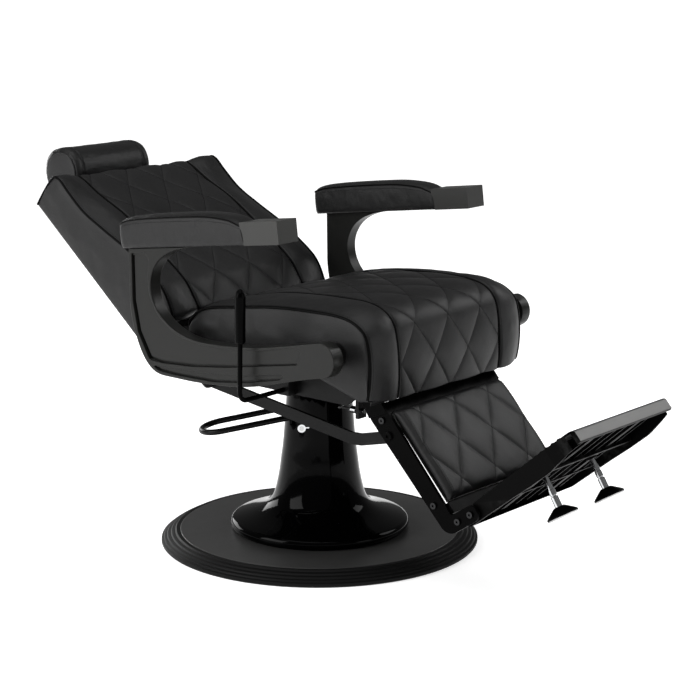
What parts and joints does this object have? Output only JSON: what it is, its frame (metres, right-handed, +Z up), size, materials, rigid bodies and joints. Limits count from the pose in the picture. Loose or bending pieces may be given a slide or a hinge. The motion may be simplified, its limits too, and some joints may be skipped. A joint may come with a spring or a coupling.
{
  "type": "reclining barber chair",
  "caption": "Reclining hydraulic barber chair with quilted black leather seat and back, cast arms, headrest, leg rest with footplate, and a round floor base.",
  "frame": {"origin": "centre of the round base, on the floor", "axes": "+Z up; the sitter faces -Y; +X is the sitter's left; drawn fully reclined, leg rest raised, seat at its lowest"},
  "size_m": [0.726, 1.5096, 0.829],
  "materials": {
    "leather_black": "satin, fine grain",
    "casting_grey": "satin dark grey paint",
    "cap_grey": "satin dark grey",
    "gloss_black": "gloss black",
    "base_grey": "satin dark grey",
    "rim_black": "satin black",
    "steel_black": "satin black",
    "foot_black": "satin black coated casting",
    "chrome": "polished",
    "steel": "ground",
    "plywood": "raw",
    "rubber_black": "matte",
    "grip_black": "gloss",
    "cover_black": "matte"
  },
  "bodies": {
    "base": {"base_disc": "base_grey", "base_rim": "rim_black", "bell_cover": "gloss_black", "pump_cylinder": "steel", "ram_gland": "steel", "pump_foot_bolts": "steel", "pedal_pivot_pins": "steel", "pedal_pin_clips": "chrome"},
    "pedal": {"pump_pedal": "steel_black"},
    "plunger": {"pump_plunger": "steel"},
    "lift": {"lifting_ram": "steel", "thrust_bearing": "steel"},
    "seat": {"swivel_hub": "steel_black", "seat_frame": "steel_black", "hub_bolts": "steel", "seat_board": "plywood", "seat_cushion": "leather_black", "arm_frame_right": "casting_grey", "arm_frame_left": "casting_grey", "arm_front_bosses": "casting_grey", "arm_rear_bosses": "steel_black", "arm_bolts": "steel", "arm_pad_right": "leather_black", "arm_pad_left": "leather_black", "arm_cap_right": "cap_grey", "arm_cap_left": "cap_grey", "back_hinge_pins": "steel", "leg_hinge_pins": "steel", "gas_spring_pin": "steel", "cable_adjuster": "chrome", "release_cable": "rubber_black"},
    "lever": {"recline_lever_rod": "steel_black", "lever_grip": "grip_black"},
    "backrest": {"back_frame": "steel_black", "headrest_socket": "steel_black", "back_board": "plywood", "back_rear_cover": "cover_black", "back_cushion": "leather_black", "link_rear_pins": "steel", "link_cross_tube": "steel_black"},
    "headrest": {"headrest_post": "chrome", "headrest_cushion": "leather_black"},
    "leg_rest": {"leg_plate_right": "steel_black", "leg_plate_left": "steel_black", "leg_crossbar_upper": "steel_black", "leg_crossbar_lower": "steel_black", "calf_board": "plywood", "calf_pad": "leather_black", "footplate": "foot_black", "leg_rest_bolts": "chrome", "link_front_pins": "steel"},
    "foot_right": {"leveller_stem_right": "chrome", "leveller_pad_right": "rubber_black"},
    "foot_left": {"leveller_stem_left": "chrome", "leveller_pad_left": "rubber_black"},
    "link_right": {"link_bar_right": "steel_black"},
    "link_left": {"link_bar_left": "steel_black"},
    "gas_cylinder": {"gas_spring_cylinder": "steel_black"},
    "gas_rod": {"gas_spring_rod": "steel"}
  },
  "joints": [
    {"name": "lift_slide", "type": "slide", "parent": "base", "child": "lift", "axis": [0, 0, 1], "range_m": [0, 0.15]},
    {"name": "seat_swivel", "type": "hinge", "parent": "lift", "child": "seat", "pos_m": [0, 0, 0.35], "axis": [0, 0, 1], "continuous": true},
    {"name": "pedal_pump", "type": "hinge", "parent": "base", "child": "pedal", "pos_m": [-0.02933, 0.03145, 0.271], "axis": [0.7314, 0.682, 0], "range_deg": [-14, 0], "stiffness_Nm_per_rad": 6, "springref_deg": 34.38},
    {"name": "plunger_stroke", "type": "slide", "parent": "base", "child": "plunger", "axis": [0, 0, 1], "range_m": [-0.0002, 0.0218]},
    {"name": "recline_lever_pull", "type": "hinge", "parent": "seat", "child": "lever", "pos_m": [-0.365, -0.095, 0.393], "axis": [1, 0, 0], "range_deg": [-20, 0], "stiffness_Nm_per_rad": 3, "springref_deg": 28.65},
    {"name": "back_recline", "type": "hinge", "parent": "seat", "child": "backrest", "pos_m": [0, 0.2, 0.462], "axis": [1, 0, 0], "range_deg": [0, 44]},
    {"name": "headrest_height", "type": "slide", "parent": "backrest", "child": "headrest", "axis": [0, 0.7547, 0.6561], "range_m": [-0.016, 0.08]},
    {"name": "leg_rest_swing", "type": "hinge", "parent": "seat", "child": "leg_rest", "pos_m": [0, -0.2745, 0.463], "axis": [1, 0, 0], "range_deg": [0, 31.7]},
    {"name": "foot_right_screw", "type": "slide", "parent": "leg_rest", "child": "foot_right", "axis": [0, -0.5255, -0.8508], "range_m": [-0.004, 0.015]},
    {"name": "foot_left_screw", "type": "slide", "parent": "leg_rest", "child": "foot_left", "axis": [0, -0.5255, -0.8508], "range_m": [-0.004, 0.015]},
    {"name": "link_right_turn", "type": "hinge", "parent": "backrest", "child": "link_right", "pos_m": [0, 0.15, 0.366], "axis": [1, 0, 0], "range_deg": [-43.4, 0]},
    {"name": "link_left_turn", "type": "hinge", "parent": "backrest", "child": "link_left", "pos_m": [0, 0.15, 0.366], "axis": [1, 0, 0], "range_deg": [-43.4, 0]},
    {"name": "gas_spring_tilt", "type": "hinge", "parent": "seat", "child": "gas_cylinder", "pos_m": [0.15, -0.206, 0.434], "axis": [1, 0, 0], "range_deg": [0, 0.4]},
    {"name": "gas_spring_stroke", "type": "slide", "parent": "gas_cylinder", "child": "gas_rod", "axis": [0, 0.9822, -0.1876], "range_m": [0, 0.0812]}
  ],
  "couplings": [
    {"joint": "plunger_stroke", "follows": "pedal_pump", "m_per_rad": -0.0881},
    {"joint": "leg_rest_swing", "follows": "back_recline", "ratio": 0.72},
    {"joint": "link_right_turn", "follows": "back_recline", "ratio": -0.983},
    {"joint": "link_left_turn", "follows": "back_recline", "ratio": -0.983},
    {"joint": "gas_spring_tilt", "follows": "back_recline", "ratio": 0.0066},
    {"joint": "gas_spring_stroke", "follows": "back_recline", "m_per_rad": 0.10535}
  ]
}
